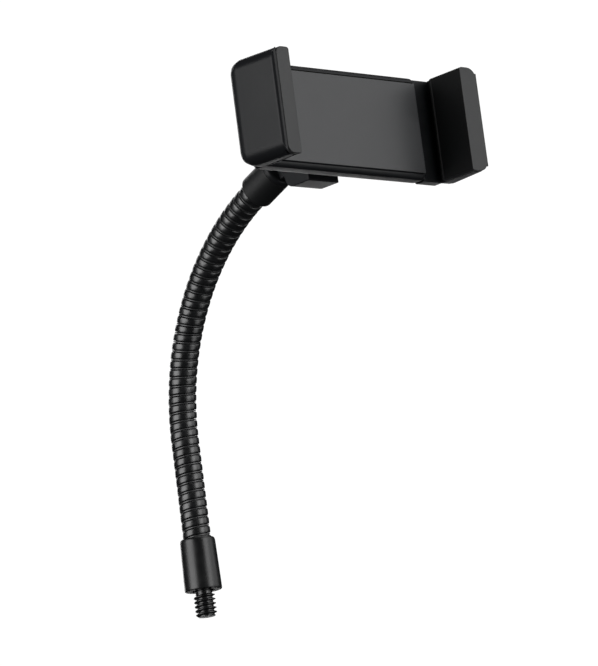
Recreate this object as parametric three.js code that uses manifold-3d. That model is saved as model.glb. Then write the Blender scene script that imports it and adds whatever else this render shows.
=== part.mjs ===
// A phone holder on a flexible arm: a spring clamp with padded jaws, a swivelling tilt joint,
// a two-wire gooseneck and a steel end fitting with a 1/4 inch - 20 threaded stud.
// Units are millimetres and +Z is up. The origin is the centre of the lower ferrule's shoulder,
// the stud points down -Z, and the phone side of the clamp faces -Y.

import * as THREE from "three";
import { mergeVertices } from "three/addons/utils/BufferGeometryUtils.js";
import Module from "manifold-3d";

const wasm = await Module();
wasm.setup();

// ---------- driving dimensions ----------

const GAP = 0.3; // clearance left between neighbouring pieces

// stud, 1/4 inch - 20 UNC
const THREAD_R = 3.175;
const THREAD_PITCH = 1.27;
const THREAD_DEPTH = 0.613 * THREAD_PITCH;
const STUD_LENGTH = 7.7;
const STUD_NECK = 0.9; // plain relief under the shoulder
const STUD_SHANK_R = 3.0;
const STUD_SHANK = 3.9; // length pressed into the ferrule

// lower ferrule, swaged so it narrows towards the arm
const FERRULE_HEIGHT = 15.4;
const FERRULE_FOOT_R = 5.5;
const FERRULE_TOP_R = 5.15;
const FERRULE_FLOOR = 4.2;

// gooseneck
const ARM_R = 4.15;
const ARM_BORE_R = 2.0;
const ARM_STRAIGHT = 29.3;
const ARM_BEND_R = 68.6;
const ARM_BEND = THREE.MathUtils.degToRad(68.5);
const ARM_LENGTH = ARM_STRAIGHT + ARM_BEND_R * ARM_BEND;
const ARM_JOINTS = 12;
const LINK = ARM_LENGTH / ARM_JOINTS;
const LINK_GAP = 0.5;
const LINK_DOME_R = 8.5;
const LINK_RINGS = 3;
const RING_GROOVE = 0.35;
const ARM_GRIP = 6; // length held inside each ferrule
const SIDES = 16;

// upper ferrule and the knuckle plugged into it
const SLEEVE_R = 5.2;
const SLEEVE_BORE_R = ARM_R + GAP;
const SLEEVE_LENGTH = 10;
const PLUG_START = ARM_GRIP + GAP;
const COLLAR = 1.8; // the knuckle's shoulder, flush with the sleeve
const KNUCKLE_EYE_R = 5.5;
const KNUCKLE_HALF = 1.8;
const KNUCKLE_REACH = 22.5; // from the lower end of the sleeve to the tilt axis

// tilt joint hardware
const PIN_R = 2.0;
const PIN_HOLE_R = PIN_R + GAP;
const WASHER_R = 5.0;
const CHEEK_IN = 2.9;
const CHEEK_OUT = 5.9;
const KNOB_R = 6.6;
const KNOB_LENGTH = 7;
const KNOB_LOBES = 6;
const NUT_FLATS_R = 3.5;

// phone clamp: x is along the opening, y goes back from the face plate's front, z is up
const FACE_Y = -83;
const CLAMP_Z = 119.5;
const BODY_HALF = 15.2;
const BODY_DEPTH = 5.9;
const BODY_FRONT = 0.3;
const BODY_FLOOR = 4.4;
const BODY_END = 30.8;
const PLATE_HALF = 13.4;
const PLATE_THICK = 1.2;
const JAW_REACH = 12.9; // jaw height in front of the face plate
const JAW_HALF = 15.4;
const BACK_CORNER = 4;
const PAD_THICK = 1.4;
const FIXED_PAD_X = -30.2; // inner faces of the two pads
const SLIDING_PAD_X = 36.5;
const FIXED_TIP_X = -35.4;
const FIXED_BACK_X = -38.6;
const SLIDING_TIP_X = 43.5;
const SLIDING_BACK_X = 45.7;
const SLIDE_FRONT = 1.9; // the sliding jaw's floor is set back behind the face plate
const TRAY_HALF = 8.6;
const TRAY_FRONT = SLIDE_FRONT;
const TRAY_BACK = 3.9;
const TRAY_END = -8;
const RIB = 0.7;
const SPRING_Z = 5;
const SPRING_R = 1.15;
const SPRING_Y = (PLATE_THICK + BODY_FLOOR) / 2;
const POST_X = -28;
const POST_R = 0.8;
const SCREW_X = 26;
const SCREW_Z = 11.7;
const SCREW_R = 0.9;
const SCREW_HEAD_R = 1.7;

// swivel
const FLANGE_R = 9;
const NECK_R = 7.1;
const RING_R = 13;
const RING_FRONT = BODY_DEPTH + GAP;
const RING_BACK = 9.7;
const FLANGE_BACK = 7.6;
const RING_SCREW_AT = 11.2;
const RING_SCREW_R = 0.7;

// hinge yoke, seen from the side in the y, z plane of the clamp
const YOKE_FRONT = 11;
const YOKE_SLOT = 12.6;
const YOKE_FOOT = -15;
const YOKE_FOOT_BACK = 20.8;
const YOKE_EYE_R = 6.5;
const YOKE_TOP = 6;

// ---------- finishes ----------

const finish = (color, roughness, metalness) => ({ color, roughness, metalness });
const PLASTIC = finish(0x1c1d1e, 0.5, 0);
const PANEL = finish(0x242526, 0.38, 0);
const RUBBER = finish(0x161717, 0.75, 0);
const BLACK_STEEL = finish(0x18191a, 0.35, 0.6);
const MATT_STEEL = finish(0x1e1f20, 0.55, 0.4);
const ZINC = finish(0xb9bcc0, 0.3, 1);

// ---------- geometry helpers ----------

// the closed surface with its corners shared, which a boolean needs
function welded(geometry) {
  const plain = geometry.clone();
  plain.deleteAttribute("normal");
  plain.deleteAttribute("uv");
  return mergeVertices(plain, 1e-4);
}

function toSolid(geometry) {
  const mesh = welded(geometry);
  const vertProperties = new Float32Array(mesh.attributes.position.array);
  const triVerts = new Uint32Array(mesh.index.array);
  return new wasm.Manifold(new wasm.Mesh({ numProp: 3, vertProperties, triVerts }));
}

function toGeometry(solid) {
  const mesh = solid.getMesh();
  const geometry = new THREE.BufferGeometry();
  geometry.setAttribute("position", new THREE.BufferAttribute(mesh.vertProperties, 3));
  geometry.setIndex(new THREE.BufferAttribute(mesh.triVerts, 1));
  return geometry;
}

function join(first, ...others) {
  return toGeometry(others.reduce((sum, next) => sum.add(toSolid(next)), toSolid(first)));
}

function cut(first, ...others) {
  return toGeometry(others.reduce((rest, next) => rest.subtract(toSolid(next)), toSolid(first)));
}

function overlap(first, second) {
  return toGeometry(toSolid(first).intersect(toSolid(second)));
}

// a box between two corners
function block(x0, x1, y0, y1, z0, z1) {
  const box = new THREE.BoxGeometry(x1 - x0, y1 - y0, z1 - z0);
  return box.translate((x0 + x1) / 2, (y0 + y1) / 2, (z0 + z1) / 2);
}

// a solid of revolution about +Z from [radius, height] pairs, given from the foot up the outside
function turned(profile, sides = SIDES) {
  return new THREE.LatheGeometry(profile.map(([r, z]) => new THREE.Vector2(r, z)), sides)
    .rotateX(Math.PI / 2);
}

// a rod about +Z
function rod(radius, z0, z1, sides = SIDES) {
  return turned([[0, z0], [radius, z0], [radius, z1], [0, z1]], sides);
}

// a tube about +Z
function tube(outer, inner, z0, z1, sides = SIDES) {
  return turned([[inner, z0], [outer, z0], [outer, z1], [inner, z1], [inner, z0]], sides);
}

// the same shapes about +X or +Y
const alongX = (geometry) => geometry.rotateY(Math.PI / 2);
const alongY = (geometry) => geometry.rotateX(-Math.PI / 2);

function extruded(shape, depth) {
  return new THREE.ExtrudeGeometry(shape, { depth, bevelEnabled: false, curveSegments: 6 });
}

// an outline in the x, y plane, extruded over z0..z1
function plan(shape, z0, z1) {
  return extruded(shape, z1 - z0).translate(0, 0, z0);
}

// an outline drawn as (y, z), extruded over x0..x1
function side(shape, x0, x1) {
  return extruded(shape, x1 - x0).rotateX(Math.PI / 2).rotateZ(Math.PI / 2).translate(x0, 0, 0);
}

function outline(points) {
  return new THREE.Shape(points.map(([x, y]) => new THREE.Vector2(x, y)));
}

function roundedBox(x0, x1, y0, y1, r) {
  const shape = new THREE.Shape();
  shape.moveTo(x0 + r, y0);
  shape.lineTo(x1 - r, y0);
  shape.absarc(x1 - r, y0 + r, r, -Math.PI / 2, 0);
  shape.lineTo(x1, y1 - r);
  shape.absarc(x1 - r, y1 - r, r, 0, Math.PI / 2);
  shape.lineTo(x0 + r, y1);
  shape.absarc(x0 + r, y1 - r, r, Math.PI / 2, Math.PI);
  shape.lineTo(x0, y0 + r);
  shape.absarc(x0 + r, y0 + r, r, Math.PI, 1.5 * Math.PI);
  return shape;
}

function hexagon(flatsRadius) {
  const corner = flatsRadius / Math.cos(Math.PI / 6);
  return outline([0, 1, 2, 3, 4, 5].map((n) => {
    const turn = n * Math.PI / 3;
    return [corner * Math.cos(turn), corner * Math.sin(turn)];
  }));
}

function part(name, geometry, look) {
  const mesh = new THREE.Mesh(geometry, new THREE.MeshStandardMaterial(look));
  mesh.name = name;
  return mesh;
}

// ---------- stud and lower ferrule ----------

// the radius of a right-handed 60 degree thread at a height and a turn
function threadRadius(z, turn) {
  const pitches = z / THREAD_PITCH - turn / (2 * Math.PI);
  const fromCrest = Math.abs(pitches - Math.round(pitches));
  const down = THREE.MathUtils.clamp((fromCrest - 1 / 16) / (3 / 8 - 1 / 16), 0, 1);
  return THREAD_R - THREAD_DEPTH * down;
}

function threadedStud() {
  const top = -STUD_NECK;
  const steps = Math.round((STUD_LENGTH - STUD_NECK) / (THREAD_PITCH / 5));
  const profile = [[0, -STUD_LENGTH], [1, -STUD_LENGTH]];
  for (let n = 1; n < steps; n += 1) {
    profile.push([1, -STUD_LENGTH + (n / steps) * (STUD_LENGTH - STUD_NECK)]);
  }
  profile.push([1, top], [1, 0], [1, GAP], [1, STUD_SHANK], [0, STUD_SHANK]);
  const stud = turned(profile, 24);
  const at = stud.attributes.position;
  for (let n = 0; n < at.count; n += 1) {
    const [x, y, z] = [at.getX(n), at.getY(n), at.getZ(n)];
    if (Math.hypot(x, y) < 0.5) continue;
    const turn = Math.atan2(y, x);
    const chamfer = THREAD_R - THREAD_DEPTH + (z + STUD_LENGTH);
    let radius = Math.min(threadRadius(z, turn), chamfer);
    if (z >= top - 1e-6) radius = THREAD_R - THREAD_DEPTH;
    if (z >= GAP - 1e-6) radius = STUD_SHANK_R;
    at.setXY(n, radius * Math.cos(turn), radius * Math.sin(turn));
  }
  return part("threaded_stud", welded(stud), BLACK_STEEL);
}

function lowerFerrule() {
  const hole = STUD_SHANK_R + GAP;
  const bore = ARM_R + GAP;
  const profile = [
    [hole, 0],
    [FERRULE_FOOT_R - 0.3, 0],
    [FERRULE_FOOT_R, 0.3],
    [FERRULE_TOP_R, FERRULE_HEIGHT - 0.8],
    [FERRULE_TOP_R - 0.15, FERRULE_HEIGHT - 0.25],
    [bore + 0.05, FERRULE_HEIGHT],
    [bore, FERRULE_HEIGHT - 0.1],
    [bore, FERRULE_FLOOR],
    [hole, FERRULE_FLOOR],
    [hole, 0],
  ];
  return part("lower_ferrule", turned(profile, 32), BLACK_STEEL);
}

// ---------- gooseneck ----------

// the arm's middle line: a straight foot, then one even bend towards -Y
function armPlace(s) {
  const turn = Math.max(s - ARM_STRAIGHT, 0) / ARM_BEND_R;
  const past = Math.max(s - ARM_LENGTH, 0);
  const bend = Math.min(turn, ARM_BEND);
  const y = -ARM_BEND_R * (1 - Math.cos(bend)) - past * Math.sin(ARM_BEND);
  const rise = ARM_BEND_R * Math.sin(bend) + past * Math.cos(ARM_BEND);
  return { y, z: FERRULE_HEIGHT + Math.min(s, ARM_STRAIGHT) + rise, bend };
}

// lays a straight solid, drawn with z as the length along the arm, on the arm's middle line
function laidOnArm(geometry) {
  const at = geometry.attributes.position;
  for (let n = 0; n < at.count; n += 1) {
    const { y, z, bend } = armPlace(at.getZ(n));
    const off = at.getY(n);
    at.setXYZ(n, at.getX(n), y + off * Math.cos(bend), z + off * Math.sin(bend));
  }
  return geometry;
}

// a domed end clears its neighbour while the joint between them turns
function domeDrop(radius) {
  return LINK_DOME_R - Math.sqrt(LINK_DOME_R ** 2 - radius ** 2);
}

function gooseneckLink(index) {
  const first = index === 0;
  const last = index === ARM_JOINTS;
  const start = first ? -ARM_GRIP : (index - 0.5) * LINK + LINK_GAP / 2;
  const end = last ? ARM_LENGTH + ARM_GRIP : (index + 0.5) * LINK - LINK_GAP / 2;
  const edge = ARM_R - RING_GROOVE;
  const low = start + (first ? 0 : domeDrop(edge));
  const high = end - (last ? 0 : domeDrop(edge));
  const ring = (high - low) / LINK_RINGS;
  const profile = [[ARM_BORE_R, start + (first ? 0 : domeDrop(ARM_BORE_R))], [edge, low]];
  for (let n = 0; n < LINK_RINGS; n += 1) {
    const foot = low + n * ring;
    profile.push([ARM_R, foot + 0.25 * ring], [ARM_R, foot + 0.7 * ring], [edge, foot + ring]);
  }
  profile.push([ARM_BORE_R, end - (last ? 0 : domeDrop(ARM_BORE_R))], profile[0]);
  const name = `gooseneck_link_${String(index).padStart(2, "0")}`;
  return part(name, laidOnArm(turned(profile)), BLACK_STEEL);
}

// ---------- arm end: upper ferrule and knuckle ----------

// drawn along +Z from the lower end of the sleeve
function upperFerrule() {
  const profile = [
    [SLEEVE_BORE_R, 0],
    [SLEEVE_R - 0.4, 0],
    [SLEEVE_R, 0.5],
    [SLEEVE_R, SLEEVE_LENGTH - 0.4],
    [SLEEVE_R - 0.3, SLEEVE_LENGTH],
    [SLEEVE_BORE_R, SLEEVE_LENGTH],
    [SLEEVE_BORE_R, 0],
  ];
  return part("upper_ferrule", turned(profile, 28), MATT_STEEL);
}

function tiltKnuckle() {
  const collar = SLEEVE_LENGTH + GAP;
  const plug = turned([
    [0, PLUG_START],
    [ARM_R, PLUG_START],
    [ARM_R, collar],
    [SLEEVE_R, collar],
    [SLEEVE_R, collar + COLLAR - 0.8],
    [SLEEVE_R - 0.8, collar + COLLAR],
    [0, collar + COLLAR],
  ]);
  const blade = outline([
    [-4, collar + 1],
    [4, collar + 1],
    [KNUCKLE_EYE_R, KNUCKLE_REACH],
    [-KNUCKLE_EYE_R, KNUCKLE_REACH],
  ]);
  const eye = alongX(rod(KNUCKLE_EYE_R, -KNUCKLE_HALF, KNUCKLE_HALF, 24));
  const hole = alongX(rod(PIN_HOLE_R, -CHEEK_IN, CHEEK_IN, 16));
  const tongue = join(side(blade, -KNUCKLE_HALF, KNUCKLE_HALF), eye.translate(0, 0, KNUCKLE_REACH));
  const solid = cut(join(plug, tongue), hole.translate(0, 0, KNUCKLE_REACH));
  return part("tilt_knuckle", solid, PLASTIC);
}

// ---------- tilt joint hardware, drawn about the tilt axis ----------

function frictionWasher(name, direction) {
  const ring = alongX(tube(WASHER_R, PIN_HOLE_R, KNUCKLE_HALF + GAP, CHEEK_IN - GAP, 16));
  if (direction < 0) ring.rotateZ(Math.PI);
  return part(name, ring, MATT_STEEL);
}

function hingeScrew() {
  const head = -CHEEK_OUT - GAP;
  const solid = turned([
    [0, head - 2.2],
    [3.1, head - 2.2],
    [3.6, head - 1.7],
    [3.6, head],
    [PIN_R, head],
    [PIN_R, CHEEK_OUT + 4.3],
    [0, CHEEK_OUT + 4.3],
  ], 18);
  const socket = plan(hexagon(1.5), head - 3, head - 0.9);
  return part("hinge_screw", alongX(cut(solid, socket)), MATT_STEEL);
}

function tiltKnob() {
  const points = [];
  const steps = KNOB_LOBES * 8;
  for (let n = 0; n < steps; n += 1) {
    const turn = (n / steps) * 2 * Math.PI;
    const radius = KNOB_R - 0.45 + 0.45 * Math.cos(KNOB_LOBES * turn);
    points.push([radius * Math.cos(turn), radius * Math.sin(turn)]);
  }
  const start = CHEEK_OUT + 2 * GAP;
  const grip = plan(outline(points), start + 1, start + KNOB_LENGTH);
  const foot = rod(KNOB_R - 1.6, start, start + 2);
  const pocket = plan(hexagon(NUT_FLATS_R + GAP), start - 1, start + 3.3);
  const bore = rod(PIN_HOLE_R, start - 1, start + 4.6, 16);
  return part("tilt_knob", alongX(cut(join(grip, foot), pocket, bore)), PLASTIC);
}

function knobNut() {
  const start = CHEEK_OUT + 3 * GAP;
  const nut = plan(hexagon(NUT_FLATS_R), start, start + 2.7);
  const hole = rod(PIN_HOLE_R, start - 1, start + 4, 16);
  return part("knob_nut", alongX(cut(nut, hole)), ZINC);
}

// ---------- hinge yoke with its swivel flange ----------

function hingeYoke(axisY, axisZ) {
  const flange = rod(FLANGE_R, RING_FRONT, FLANGE_BACK, 32);
  const neck = rod(NECK_R, FLANGE_BACK - 0.1, YOKE_FRONT + 0.1, 32);
  const shape = new THREE.Shape();
  const corner = 3;
  shape.moveTo(YOKE_FRONT, YOKE_FOOT);
  shape.lineTo(YOKE_FOOT_BACK - corner, YOKE_FOOT);
  shape.absarc(YOKE_FOOT_BACK - corner, YOKE_FOOT + corner, corner, -Math.PI / 2, 0);
  shape.absarc(axisY, axisZ, YOKE_EYE_R, -0.15, 0.6 * Math.PI);
  shape.lineTo(YOKE_FRONT, YOKE_TOP);
  const yoke = side(shape, -CHEEK_OUT, CHEEK_OUT);
  const slot = block(-CHEEK_IN, CHEEK_IN, YOKE_SLOT, 40, YOKE_FOOT + 1.8, 40);
  const hole = alongX(rod(PIN_HOLE_R, -10, 10, 16)).translate(0, axisY, axisZ);
  const solid = cut(join(alongY(flange), alongY(neck), yoke), slot, hole);
  return part("hinge_yoke", solid, PLASTIC);
}

function ringScrewPlaces() {
  return [0, 1, 2].map((n) => {
    const turn = Math.PI / 2 + n * 2 * Math.PI / 3;
    return [RING_SCREW_AT * Math.cos(turn), RING_SCREW_AT * Math.sin(turn)];
  });
}

function swivelRing() {
  const ring = alongY(turned([
    [FLANGE_R + GAP, RING_FRONT],
    [RING_R, RING_FRONT],
    [RING_R, RING_BACK - 0.6],
    [RING_R - 0.6, RING_BACK],
    [NECK_R + GAP, RING_BACK],
    [NECK_R + GAP, FLANGE_BACK + GAP],
    [FLANGE_R + GAP, FLANGE_BACK + GAP],
    [FLANGE_R + GAP, RING_FRONT],
  ], 36));
  const holes = ringScrewPlaces().map(([x, z]) => {
    const through = rod(RING_SCREW_R + GAP, 0, 20, 12);
    const seat = rod(1.25 + GAP, RING_BACK - 1, 20, 12);
    return alongY(join(through, seat)).translate(x, 0, z);
  });
  return part("swivel_ring", cut(ring, ...holes), PLASTIC);
}

// a small pan-head screw driven from behind, its head between two depths
function screwFromBehind(shank, head, tip, seat, back) {
  return alongY(turned([[0, tip], [shank, tip], [shank, seat], [head, seat], [head, back - 0.3],
    [head - 0.4, back], [0, back]], 12));
}

// ---------- clamp body ----------

// keeps a jaw's back corners round: the outline is drawn as (y, z)
function jawLimits(x0, x1) {
  const shape = new THREE.Shape();
  const [front, back, top] = [-JAW_REACH, BODY_DEPTH, JAW_HALF];
  shape.moveTo(front, -top);
  shape.lineTo(back - BACK_CORNER, -top);
  shape.absarc(back - BACK_CORNER, -top + BACK_CORNER, BACK_CORNER, -Math.PI / 2, 0);
  shape.lineTo(back, top - BACK_CORNER);
  shape.absarc(back - BACK_CORNER, top - BACK_CORNER, BACK_CORNER, 0, Math.PI / 2);
  shape.lineTo(front, top);
  return side(shape, x0, x1);
}

// the hard shell of a jaw, drawn as (x, y): its outer face leans out towards the back
function jawShell(tipX, backX, padX, direction) {
  const seat = padX + direction * (PAD_THICK + GAP);
  const lip = tipX - direction * 0.5;
  const shape = new THREE.Shape();
  shape.moveTo(seat, BODY_DEPTH);
  shape.lineTo(backX - direction * BACK_CORNER, BODY_DEPTH);
  shape.quadraticCurveTo(backX, BODY_DEPTH, backX, BODY_DEPTH - BACK_CORNER);
  shape.lineTo(tipX, -JAW_REACH);
  shape.lineTo(lip, -JAW_REACH);
  shape.lineTo(lip, -JAW_REACH + PAD_THICK + GAP);
  shape.lineTo(seat, -JAW_REACH + PAD_THICK + GAP);
  const [low, high] = [Math.min(seat, backX) - 1, Math.max(seat, backX) + 1];
  return overlap(plan(shape, -JAW_HALF, JAW_HALF), jawLimits(low, high));
}

// the soft pad lines the inner face and folds over the tip
function jawPad(name, tipX, padX, direction) {
  const back = padX + direction * PAD_THICK;
  const lip = tipX - direction * (0.5 + GAP);
  const foot = BODY_FRONT - 2 * GAP;
  const shape = outline([
    [padX, foot],
    [back, foot],
    [back, -JAW_REACH + PAD_THICK],
    [lip, -JAW_REACH + PAD_THICK],
    [lip, -JAW_REACH],
    [padX + direction * 0.6, -JAW_REACH],
    [padX, -JAW_REACH + 0.6],
  ]);
  return part(name, plan(shape, -JAW_HALF, JAW_HALF), RUBBER);
}

function clampBody() {
  const start = FIXED_PAD_X - PAD_THICK - 2;
  const tub = block(start, BODY_END, BODY_FRONT, BODY_DEPTH, -BODY_HALF, BODY_HALF);
  const inner = PLATE_HALF + GAP;
  const hollow = block(FIXED_PAD_X - GAP, 40, -1, BODY_FLOOR, -inner, inner);
  const jaw = jawShell(FIXED_TIP_X, FIXED_BACK_X, FIXED_PAD_X, -1);
  const extras = [];
  const cuts = [];
  for (const up of [-1, 1]) {
    const rib = TRAY_HALF + GAP;
    const [z0, z1] = up > 0 ? [rib, rib + RIB] : [-rib - RIB, -rib];
    extras.push(block(TRAY_END, BODY_END, PLATE_THICK + GAP, BODY_FLOOR + 0.5, z0, z1));
    const post = alongY(rod(POST_R, PLATE_THICK + GAP, BODY_FLOOR + 0.5, 10));
    extras.push(post.translate(POST_X, 0, up * SPRING_Z));
    for (const across of [-1, 1]) {
      const hole = rod(SCREW_R + GAP, BODY_FLOOR - 1, 20, 12);
      const seat = rod(SCREW_HEAD_R + GAP, BODY_DEPTH - 1, 20, 12);
      cuts.push(alongY(join(hole, seat)).translate(across * SCREW_X, 0, up * SCREW_Z));
    }
  }
  for (const [x, z] of ringScrewPlaces()) {
    cuts.push(alongY(rod(RING_SCREW_R + GAP, BODY_FLOOR - 1, 20, 12)).translate(x, 0, z));
  }
  const shell = join(cut(join(tub, jaw), hollow), ...extras);
  return part("clamp_body", cut(shell, ...cuts), PLASTIC);
}

function facePlate() {
  const [x0, x1] = [FIXED_PAD_X, BODY_END - GAP];
  const sheet = side(roundedBox(0, PLATE_THICK, -PLATE_HALF, PLATE_HALF, 0.2), x0, x1);
  const bosses = [];
  const holes = [];
  for (const across of [-1, 1]) {
    for (const up of [-1, 1]) {
      const boss = alongY(rod(SCREW_R + 0.8, PLATE_THICK - 0.4, BODY_FLOOR - GAP, 12));
      const hole = alongY(rod(SCREW_R + GAP, PLATE_THICK - 0.2, BODY_FLOOR + 1, 12));
      bosses.push(boss.translate(across * SCREW_X, 0, up * SCREW_Z));
      holes.push(hole.translate(across * SCREW_X, 0, up * SCREW_Z));
    }
  }
  return part("face_plate", cut(join(sheet, ...bosses), ...holes), PANEL);
}

function caseScrews() {
  const screws = [];
  for (const across of [-1, 1]) {
    for (const up of [-1, 1]) {
      const tip = PLATE_THICK + 0.3;
      const shape = screwFromBehind(SCREW_R, SCREW_HEAD_R, tip, BODY_DEPTH - 0.7, BODY_DEPTH + 0.2);
      const name = `case_screw_${screws.length + 1}`;
      screws.push(part(name, shape.translate(across * SCREW_X, 0, up * SCREW_Z), ZINC));
    }
  }
  return screws;
}

function ringScrews() {
  return ringScrewPlaces().map(([x, z], n) => {
    const shape = screwFromBehind(RING_SCREW_R, 1.25, BODY_FLOOR + 0.4, RING_BACK - 0.7,
      RING_BACK + 0.2);
    return part(`ring_screw_${n + 1}`, shape.translate(x, 0, z), ZINC);
  });
}

function returnSpring(name, up) {
  const [x0, x1] = [POST_X + 1.6, TRAY_END - 0.4];
  const coil = alongX(tube(SPRING_R, SPRING_R - 0.45, x0, x1, 12));
  return part(name, coil.translate(0, SPRING_Y, up * SPRING_Z), ZINC);
}

// ---------- sliding jaw ----------

function slidingJaw() {
  const seat = SLIDING_PAD_X + PAD_THICK + GAP;
  const jaw = jawShell(SLIDING_TIP_X, SLIDING_BACK_X, SLIDING_PAD_X, 1);
  const base = block(BODY_END + GAP, seat + 1, SLIDE_FRONT, BODY_DEPTH, -BODY_HALF, BODY_HALF);
  const tray = block(TRAY_END, BODY_END + 2, TRAY_FRONT, TRAY_BACK, -TRAY_HALF, TRAY_HALF);
  const holes = [-1, 1].map((up) => {
    const hole = alongY(rod(1, 0, 10, 12));
    return hole.translate(TRAY_END + 2, 0, up * SPRING_Z);
  });
  return part("sliding_jaw", cut(join(jaw, base, tray), ...holes), PLASTIC);
}

// ---------- assembly ----------

const holder = new THREE.Group();

const foot = new THREE.Group();
foot.add(threadedStud(), lowerFerrule());

const arm = new THREE.Group();
for (let n = 0; n <= ARM_JOINTS; n += 1) arm.add(gooseneckLink(n));

const armTop = armPlace(ARM_LENGTH);
const armEnd = new THREE.Group();
armEnd.position.set(0, armTop.y, armTop.z);
armEnd.rotation.x = ARM_BEND;
armEnd.add(upperFerrule(), tiltKnuckle());

const tiltAxis = new THREE.Vector3(0, 0, KNUCKLE_REACH).applyEuler(armEnd.rotation);
tiltAxis.add(armEnd.position);

const hinge = new THREE.Group();
hinge.position.copy(tiltAxis);
hinge.add(
  frictionWasher("friction_washer_left", -1),
  frictionWasher("friction_washer_right", 1),
  hingeScrew(),
  tiltKnob(),
  knobNut(),
);

const clamp = new THREE.Group();
clamp.position.set(0, FACE_Y, CLAMP_Z);
clamp.add(
  hingeYoke(tiltAxis.y - FACE_Y, tiltAxis.z - CLAMP_Z),
  swivelRing(),
  ...ringScrews(),
  clampBody(),
  facePlate(),
  ...caseScrews(),
  jawPad("fixed_jaw_pad", FIXED_TIP_X, FIXED_PAD_X, -1),
  returnSpring("return_spring_upper", 1),
  returnSpring("return_spring_lower", -1),
  slidingJaw(),
  jawPad("sliding_jaw_pad", SLIDING_TIP_X, SLIDING_PAD_X, 1),
);

holder.add(foot, arm, armEnd, hinge, clamp);

export default holder;
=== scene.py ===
import bpy
import math
from mathutils import Matrix, Vector


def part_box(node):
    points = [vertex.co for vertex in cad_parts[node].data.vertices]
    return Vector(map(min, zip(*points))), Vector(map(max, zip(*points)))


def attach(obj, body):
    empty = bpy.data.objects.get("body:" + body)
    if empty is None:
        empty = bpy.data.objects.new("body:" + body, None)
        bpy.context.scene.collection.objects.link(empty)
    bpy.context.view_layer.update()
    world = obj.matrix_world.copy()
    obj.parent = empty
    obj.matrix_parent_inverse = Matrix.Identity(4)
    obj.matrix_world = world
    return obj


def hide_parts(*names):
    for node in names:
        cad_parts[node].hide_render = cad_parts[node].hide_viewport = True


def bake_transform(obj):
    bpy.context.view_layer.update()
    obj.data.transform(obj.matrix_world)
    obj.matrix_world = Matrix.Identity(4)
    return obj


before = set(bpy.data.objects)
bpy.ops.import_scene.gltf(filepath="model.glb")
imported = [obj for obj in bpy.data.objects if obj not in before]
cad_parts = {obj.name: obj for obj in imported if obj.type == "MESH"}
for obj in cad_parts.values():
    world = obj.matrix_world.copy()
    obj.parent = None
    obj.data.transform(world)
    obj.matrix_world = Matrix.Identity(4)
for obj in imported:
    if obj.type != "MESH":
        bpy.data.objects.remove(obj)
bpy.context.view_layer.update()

MM = 0.001

# ---------------------------------------------------------------------------
# Camera. It stands 1.3 m off, in front of the phone side and to its left, and
# looks up from below the part's foot with a long lens and a small roll.
# ---------------------------------------------------------------------------
azimuth, elevation, roll = math.radians(-43.54), math.radians(-11.17), math.radians(-7.35)
stand_off = 1.3
looked_at = Vector((0, -45 * MM, 60 * MM))
towards_camera = Vector((math.sin(azimuth) * math.cos(elevation),
                         -math.cos(azimuth) * math.cos(elevation), math.sin(elevation)))
level_right = Vector((math.cos(azimuth), math.sin(azimuth), 0))
level_up = towards_camera.cross(level_right)
right = level_right * math.cos(roll) + level_up * math.sin(roll)
up = level_up * math.cos(roll) - level_right * math.sin(roll)
shift_right, shift_up = 5.3, 6.34
frame_centre = looked_at + right * shift_right * MM + up * shift_up * MM
camera_place = looked_at + towards_camera * stand_off
backwards = (camera_place - frame_centre).normalized()
side = up.cross(backwards).normalized()
bpy.ops.object.camera_add(location=camera_place)
camera = bpy.context.object
camera.name = "camera"
camera.rotation_euler = Matrix((side, backwards.cross(side), backwards)).transposed().to_euler()
camera.data.lens = 245
camera.data.sensor_width = 36
camera.data.clip_start, camera.data.clip_end = 0.05, 60
bpy.context.scene.camera = camera

# ---------------------------------------------------------------------------
# Studio. A wide pale floor well below the part, with a panel of its own over it,
# and throwing nothing back at the part. Tall softboxes either side draw the
# streaks along the steel; dimmer ones stand behind, overhead and low in front.
# ---------------------------------------------------------------------------


def linear(code):
    """An sRGB colour such as #1c1d1e as linear red, green, blue and alpha."""
    parts = [int(code[n:n + 2], 16) / 255 for n in (1, 3, 5)]
    return tuple(c / 12.92 if c <= 0.04045 else ((c + 0.055) / 1.055) ** 2.4 for c in parts) + (1,)


def add(tree, kind, settings=(), links=()):
    """One node with its settings and the sockets that feed it."""
    made = tree.nodes.new(kind)
    for name, value in dict(settings).items():
        if name in made.inputs:
            made.inputs[name].default_value = value
        else:
            setattr(made, name, value)
    for name, source in dict(links).items():
        tree.links.new(source, made.inputs[name])
    return made


def two_tones(ramp, dark, light):
    """The colours at a ramp's two ends."""
    ramp.color_ramp.elements[0].color = linear(dark)
    ramp.color_ramp.elements[1].color = linear(light)


def nothing_selected():
    bpy.ops.object.select_all(action="DESELECT")


studio = bpy.data.worlds.new("pale_studio")
studio.use_nodes = True
studio.node_tree.nodes.clear()
seen = add(studio.node_tree, "ShaderNodeBackground",
           {"Color": linear("#ffffff"), "Strength": 1.05})
room = add(studio.node_tree, "ShaderNodeBackground",
           {"Color": linear("#f4f6f8"), "Strength": 0.03})
direct = add(studio.node_tree, "ShaderNodeLightPath")
sky = add(studio.node_tree, "ShaderNodeMixShader")
studio.node_tree.links.new(direct.outputs["Is Camera Ray"], sky.inputs[0])
studio.node_tree.links.new(room.outputs[0], sky.inputs[1])
studio.node_tree.links.new(seen.outputs[0], sky.inputs[2])
add(studio.node_tree, "ShaderNodeOutputWorld", {}, {"Surface": sky.outputs[0]})
bpy.context.scene.world = studio
bpy.context.scene.view_settings.view_transform = "Standard"

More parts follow.
